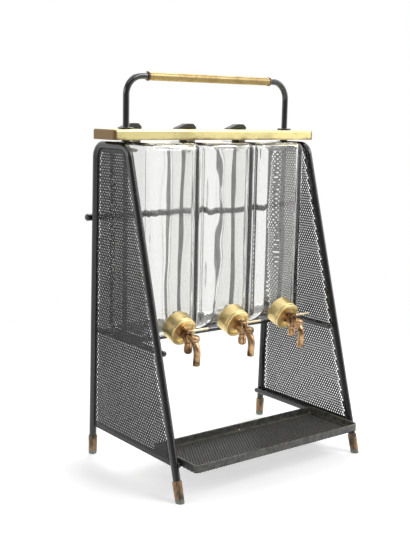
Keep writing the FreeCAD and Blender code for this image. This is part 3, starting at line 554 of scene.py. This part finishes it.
def holedSheet(edges, low, high, isOpen, hole, edgeHole):
    # rows of cells in the plane x = 0, trimmed along the edges; the first and last open cell of a row
    # have the edge hole
    pitch = sheet["pitch"]
    holed, wide, plain = (sheetCell(radius) for radius in (hole, edgeHole, 0))
    bm = bmesh.new()
    steps = range(int(low.y / pitch) - 2, int(high.y / pitch) + 2)
    for level in range(int((high.z - low.z) / sheetRise) + 2):
        z = low.z + level * sheetRise
        places = [step * pitch + (level % 2) * pitch / 2 for step in steps]
        near = [y for y in places
                if all((Vector((0, y, z)) - start).dot(out) < pitch for start, out, _ in edges)]
        cut = [y for y in near if isOpen(y, z)]
        if not cut:
            if near:
                cellRow(bm, plain, near[0], len(near), z)
            continue
        cellRow(bm, plain, near[0], near.index(cut[0]), z)
        cellRow(bm, wide, cut[0], 1, z)
        cellRow(bm, holed, cut[0] + pitch, len(cut) - 2, z)
        cellRow(bm, wide, cut[-1], 1, z)
        cellRow(bm, plain, cut[-1] + pitch, len(near) - near.index(cut[-1]) - 1, z)
    bmesh.ops.remove_doubles(bm, verts=bm.verts[:], dist=2e-5)
    for start, out, _ in edges:
        everything = bm.verts[:] + bm.edges[:] + bm.faces[:]
        bmesh.ops.bisect_plane(bm, geom=everything, plane_co=start, plane_no=out, clear_outer=True)
    bmesh.ops.recalc_face_normals(bm, faces=bm.faces[:])
    return bm


def thicken(piece):
    shell = piece.modifiers.new("sheetThickness", "SOLIDIFY")
    shell.thickness = sheet["thick"]
    shell.offset = 0


def perforatedPanel(side):
    low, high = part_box("perforated_panel_" + side)
    edges = panelEdges(side)
    hole = sheet["hole"]
    reach = sheet["panelCorner"]
    corners = [(Vector((0, out.y, 0)), start, out) for start, out, _ in edges[:2]]

    def isOpen(y, z):
        spot = Vector((0, y, z))
        if not all((spot - start).dot(out) < -border - hole for start, out, border in edges):
            return False
        depth = high.z - z
        if depth > reach:
            return True
        across = min(-(Vector((0, y, high.z - reach)) - start).dot(out) for _, start, out in corners)
        inset = max(reach - across, 0)
        return math.hypot(inset, reach - depth) < reach - hole - sheet["border"] or inset == 0

    bm = holedSheet(edges, low, high, isOpen, hole, sheet["edgeHole"])
    bmesh.ops.translate(bm, verts=bm.verts[:], vec=((low.x + high.x) / 2, 0, 0))
    piece = addPiece("perforatedSheet_" + side, bm, sheetFinish, "frame_lacquer",
                     "perforated_panel_" + side, smooth=False)
    thicken(piece)
    print("perforated sheet", side, "made")


def perforatedFloor():
    # the tray's floor: its cut edge shows as teeth below the rim
    low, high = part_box("tray_floor")
    flatLow, flatHigh = Vector((0, low.x, low.y)), Vector((0, high.x, high.y))
    hole = sheet["trayHole"]
    bm = holedSheet(trayEdges(low, high), flatLow, flatHigh, lambda y, z: True, hole, hole)
    level = (low.z + high.z) / 2
    lay = Matrix(((0, 1, 0, 0), (0, 0, 1, 0), (1, 0, 0, level), (0, 0, 0, 1)))
    bmesh.ops.transform(bm, matrix=lay, verts=bm.verts[:])
    piece = addPiece("perforatedFloor", bm, trayFinish, "tray_steel", "tray_floor", smooth=False)
    thicken(piece)
    print("perforated tray floor made")


footRounding = {"reach": 0.0022, "steps": 4}


def roundedFoot(name):
    # a copy of the ferrule with its ground edge rounded off
    bm = bmesh.new()
    bm.from_mesh(nodes[name].data)
    bmesh.ops.remove_doubles(bm, verts=bm.verts[:], dist=1e-6)
    bmesh.ops.dissolve_limit(bm, angle_limit=0.01, verts=bm.verts[:], edges=bm.edges[:])
    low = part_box(name)[0].z
    ground = [e for e in bm.edges if all(v.co.z < low + sameLevel for v in e.verts)]
    bmesh.ops.bevel(bm, geom=ground, offset=footRounding["reach"], segments=footRounding["steps"],
                    profile=0.5, affect="EDGES", clamp_overlap=True)
    addPiece("rounded_" + name, bm, ferruleFinish, "ferrule_brass", name)


for side in sides:
    perforatedPanel(side)
    roundedFoot("ferrule_rear_" + side)
    roundedFoot("ferrule_front_" + side)
perforatedFloor()


view = {
    "place": (-0.65997, -0.80427, 0.38923),
    "azimuth": 37.847,
    "down": 9.769,
    "roll": 1.21,
    "focal": 941.464,  # in pixels of a picture 410 wide
    "width": 410,
}


def addCamera():
    azimuth, down, roll = (math.radians(view[k]) for k in ("azimuth", "down", "roll"))
    ahead = Vector((math.sin(azimuth) * math.cos(down), math.cos(azimuth) * math.cos(down), -math.sin(down)))
    across = Vector((math.cos(azimuth), -math.sin(azimuth), 0))
    up = across.cross(ahead)
    tiltedAcross = across * math.cos(roll) + up * math.sin(roll)
    tiltedUp = up * math.cos(roll) - across * math.sin(roll)
    data = bpy.data.cameras.new("studioCamera")
    data.sensor_fit = "HORIZONTAL"
    data.sensor_width = 36
    data.lens = view["focal"] / view["width"] * 36
    camera = bpy.data.objects.new("studioCamera", data)
    scene.collection.objects.link(camera)
    turn = Matrix((tiltedAcross, tiltedUp, -ahead)).transposed()
    camera.matrix_world = Matrix.Translation(view["place"]) @ turn.to_4x4()
    scene.camera = camera


addCamera()

light = {
    "world": 0.50,
    "room": 0.20,  # reflections of the dark room behind the camera
    "boxes": (
        # direction, cosine where the light starts and where it is full, strength
        ((0.6, 0.77, 0.1), -0.15, 0.45, 1.0),  # the white backdrop
        ((0.85, -0.50, 0.25), 0.86, 0.95, 1.3),
        ((-0.1, -0.2, 1.0), 0.72, 0.88, 1.1),
        ((-0.87, 0.45, 0.20), 0.93, 0.97, 1.6),  # a strip on the left, for the lines on the tubes
    ),
    "key": {"place": (0.9, -1.5, 1.7), "size": 1.0, "power": 24},
    "top": {"place": (0.7, 0.8, 1.7), "size": 1.0, "power": 14},
    "side": {"place": (-1.6, 0.1, 0.9), "size": 0.6, "power": 4},
    "aim": (0, 0, 0.2),
}


def addLamp(name, setup):
    data = bpy.data.lights.new(name, "AREA")
    data.size = setup["size"]
    data.energy = setup["power"]
    lamp = bpy.data.objects.new(name, data)
    lamp.location = setup["place"]
    aim = Vector(light["aim"]) - lamp.location
    lamp.rotation_euler = aim.to_track_quat("-Z", "Y").to_euler()
    scene.collection.objects.link(lamp)


for name in ("key", "top", "side"):
    addLamp(name + "Lamp", light[name])


class Sky(Paint):
    # the same for the world's nodes
    def __init__(self, world):
        self.tree = world.node_tree
        self.tree.nodes.clear()

    def facing(self, direction):
        # 1 towards the direction, -1 away from it
        spot = self.node("ShaderNodeTexCoord", {}, {}, "Generated")
        aim = Vector(direction).normalized()
        return self.node("ShaderNodeVectorMath", {"operation": "DOT_PRODUCT"}, {0: spot, 1: aim}, "Value")


def addWorld():
    # white behind the object and through the glass, a dim room with soft boxes in reflections
    world = bpy.data.worlds.new("studio")
    scene.world = world
    world.use_nodes = True
    sky = Sky(world)
    room = light["room"]
    for direction, near, far, strength in light["boxes"]:
        room = sky.level(sky.facing(direction), near, far) * strength + room
    seen, glossy = sky.ray("Camera"), sky.ray("Glossy")
    plain = seen.calc("MAXIMUM", seen, sky.ray("Transmission"))
    lit = plain + (1 - plain) * glossy * room
    other = (1 - plain) * (1 - glossy) * light["world"]
    back = sky.node("ShaderNodeBackground", {}, {"Color": rgb(1, 1, 1), "Strength": lit + other})
    sky.node("ShaderNodeOutputWorld", {}, {"Surface": back})


addWorld()

floor = {"size": 12.0, "albedo": 0.80, "glow": 0.44, "shadowReach": 0.28, "whiteFrom": 0.75}


def addFloor():
    # grey only near the object, where its shadow falls
    paint = Paint("studioFloor")
    matt = paint.node("ShaderNodeBsdfDiffuse", {}, {"Color": rgb(*[floor["albedo"]] * 3)})
    seenBy = paint.ray("Camera")
    for kind in ("Glossy", "Transmission"):
        seenBy = seenBy.calc("MAXIMUM", seenBy, paint.ray(kind))
    glow = paint.node("ShaderNodeEmission", {}, {"Color": rgb(1, 1, 1), "Strength": seenBy * floor["glow"]})
    near = paint.node("ShaderNodeAddShader", {}, {0: matt, 1: glow})
    white = paint.node("ShaderNodeEmission", {}, {"Color": rgb(1, 1, 1), "Strength": seenBy})
    distance = (paint.along("X") ** 2 + paint.along("Y") ** 2) ** 0.5
    fade = paint.level(distance, floor["shadowReach"], floor["whiteFrom"])
    finish = paint.done(paint.node("ShaderNodeMixShader", {}, {0: fade, 1: near, 2: white}))
    bm = bmesh.new()
    bmesh.ops.create_grid(bm, x_segments=1, y_segments=1, size=floor["size"] / 2)
    mesh = bpy.data.meshes.new("studioFloor")
    bm.to_mesh(mesh)
    bm.free()
    mesh.materials.append(finish)
    plane = bpy.data.objects.new("studioFloor", mesh)
    scene.collection.objects.link(plane)


addFloor()
print("camera, lamps and floor placed")
